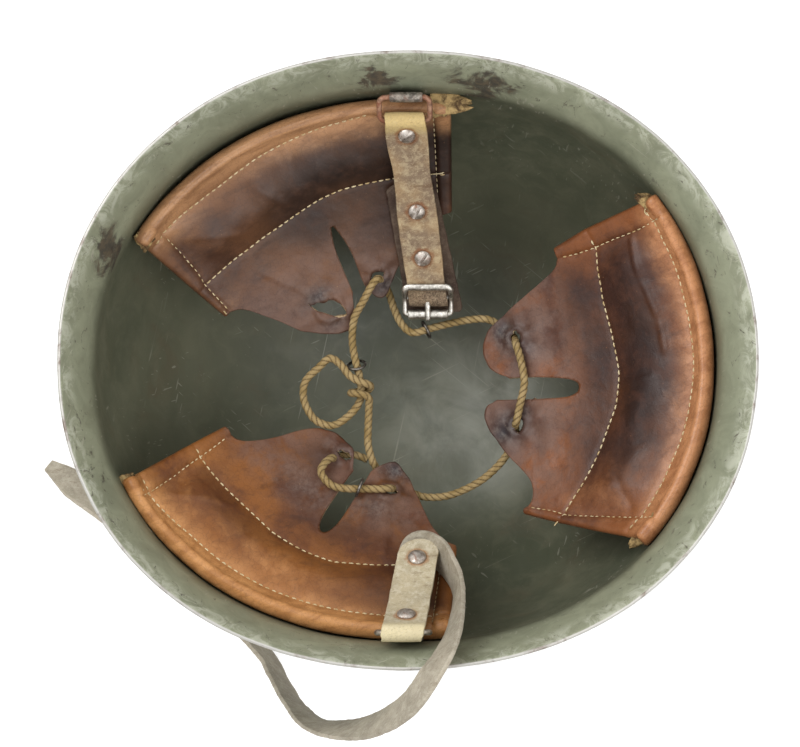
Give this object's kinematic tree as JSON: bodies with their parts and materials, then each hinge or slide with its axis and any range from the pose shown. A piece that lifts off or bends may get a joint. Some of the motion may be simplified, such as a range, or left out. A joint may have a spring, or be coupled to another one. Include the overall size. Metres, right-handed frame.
{
  "type": "steel helmet with leather pad liner",
  "caption": "Steel helmet lying on its crown, with a flared skirt, stitched leather liner pads laced together, and a chin strap on wire loops with a roller buckle.",
  "frame": {"origin": "on the outside of the crown, which is the lowest point as the helmet lies on its crown", "axes": "+Z out of the head opening, -Y toward the forehead, +X toward the wearer's right ear; the crown rests on the plane z = 0"},
  "size_m": [0.2921, 0.3251, 0.1784],
  "materials": {
    "shell": "matt olive paint, chipped and rusted along the rim",
    "liner_rivets": "matt olive paint",
    "pad_plates": "dark, lightly rusted",
    "pad_leather": "brown, worn, stained",
    "wadding": "felted",
    "lining": "coarse cloth",
    "brackets": "rusted",
    "loop_wire": "rusted wire, worn bright at the ends",
    "strap_leather": "pale, worn and cracked",
    "guard_leather": "brown, rough",
    "screws": "dull, rust stained",
    "buckle_steel": "worn plating",
    "roller_steel": "bright, scratched",
    "long_strap_leather": "pale suede side out",
    "strap_rivets": "dull, rust stained",
    "lace_cord": "twisted cord, waxed and worn",
    "ring_wire": "bright wire"
  },
  "bodies": {
    "helmet": {"shell": "shell", "liner_rivets": "liner_rivets", "front_pad_plate": "pad_plates", "right_pad_plate": "pad_plates", "left_pad_plate": "pad_plates", "front_pad_leather": "pad_leather", "right_pad_leather": "pad_leather", "left_pad_leather": "pad_leather", "front_pad_cushion": "wadding", "right_pad_cushion": "wadding", "left_pad_cushion": "wadding", "front_pad_lining": "lining", "right_pad_lining": "lining", "left_pad_lining": "lining", "right_bracket": "brackets", "left_bracket": "brackets", "left_wire_loop": "loop_wire", "lace": "lace_cord", "long_strap_run": "long_strap_leather", "left_ring": "ring_wire"},
    "right_loop": {"right_wire_loop": "loop_wire"},
    "buckle_side": {"buckle_strap": "strap_leather", "buckle_guard": "guard_leather", "buckle_screws": "screws"},
    "buckle": {"buckle_frame": "buckle_steel"},
    "roller": {"buckle_roller": "roller_steel"},
    "prong": {"buckle_prong": "buckle_steel"},
    "long_strap": {"long_strap_fold": "long_strap_leather", "long_strap_rivets": "strap_rivets"},
    "knot_ring_body": {"knot_ring": "ring_wire"},
    "right_ring_body": {"right_ring": "ring_wire"}
  },
  "joints": [
    {"name": "right_loop_swing", "type": "hinge", "parent": "helmet", "child": "right_loop", "pos_m": [0.11335, 0, 0.137], "axis": [0, 1, 0], "range_deg": [0, 80]},
    {"name": "buckle_strap_swing", "type": "hinge", "parent": "right_loop", "child": "buckle_side", "pos_m": [0.10459, 0, 0.12939], "axis": [0, 1, 0], "range_deg": [0, 60]},
    {"name": "buckle_tilt", "type": "hinge", "parent": "buckle_side", "child": "buckle", "pos_m": [0.03474, -0.00709, 0.07676], "axis": [0, -1, 0], "range_deg": [0, 12]},
    {"name": "roller_turn", "type": "hinge", "parent": "buckle", "child": "roller", "pos_m": [0.0276, -0.00709, 0.07405], "axis": [0, 1, 0], "continuous": true},
    {"name": "prong_lift", "type": "hinge", "parent": "buckle", "child": "prong", "pos_m": [0.03474, -0.00709, 0.07676], "axis": [0, 1, 0], "range_deg": [0, 90]},
    {"name": "long_strap_swing", "type": "hinge", "parent": "helmet", "child": "long_strap", "pos_m": [-0.11335, 0, 0.1486], "axis": [0, -1, 0], "range_deg": [0, 50], "deforming": ["long_strap_run"]},
    {"name": "knot_ring_slide", "type": "slide", "parent": "helmet", "child": "knot_ring_body", "axis": [0.9701, 0.2425, 0], "range_m": [-0.0015, 0.0015]},
    {"name": "right_ring_slide", "type": "slide", "parent": "helmet", "child": "right_ring_body", "axis": [-0.2421, 0.9685, 0.0581], "range_m": [-0.0015, 0.002]}
  ]
}
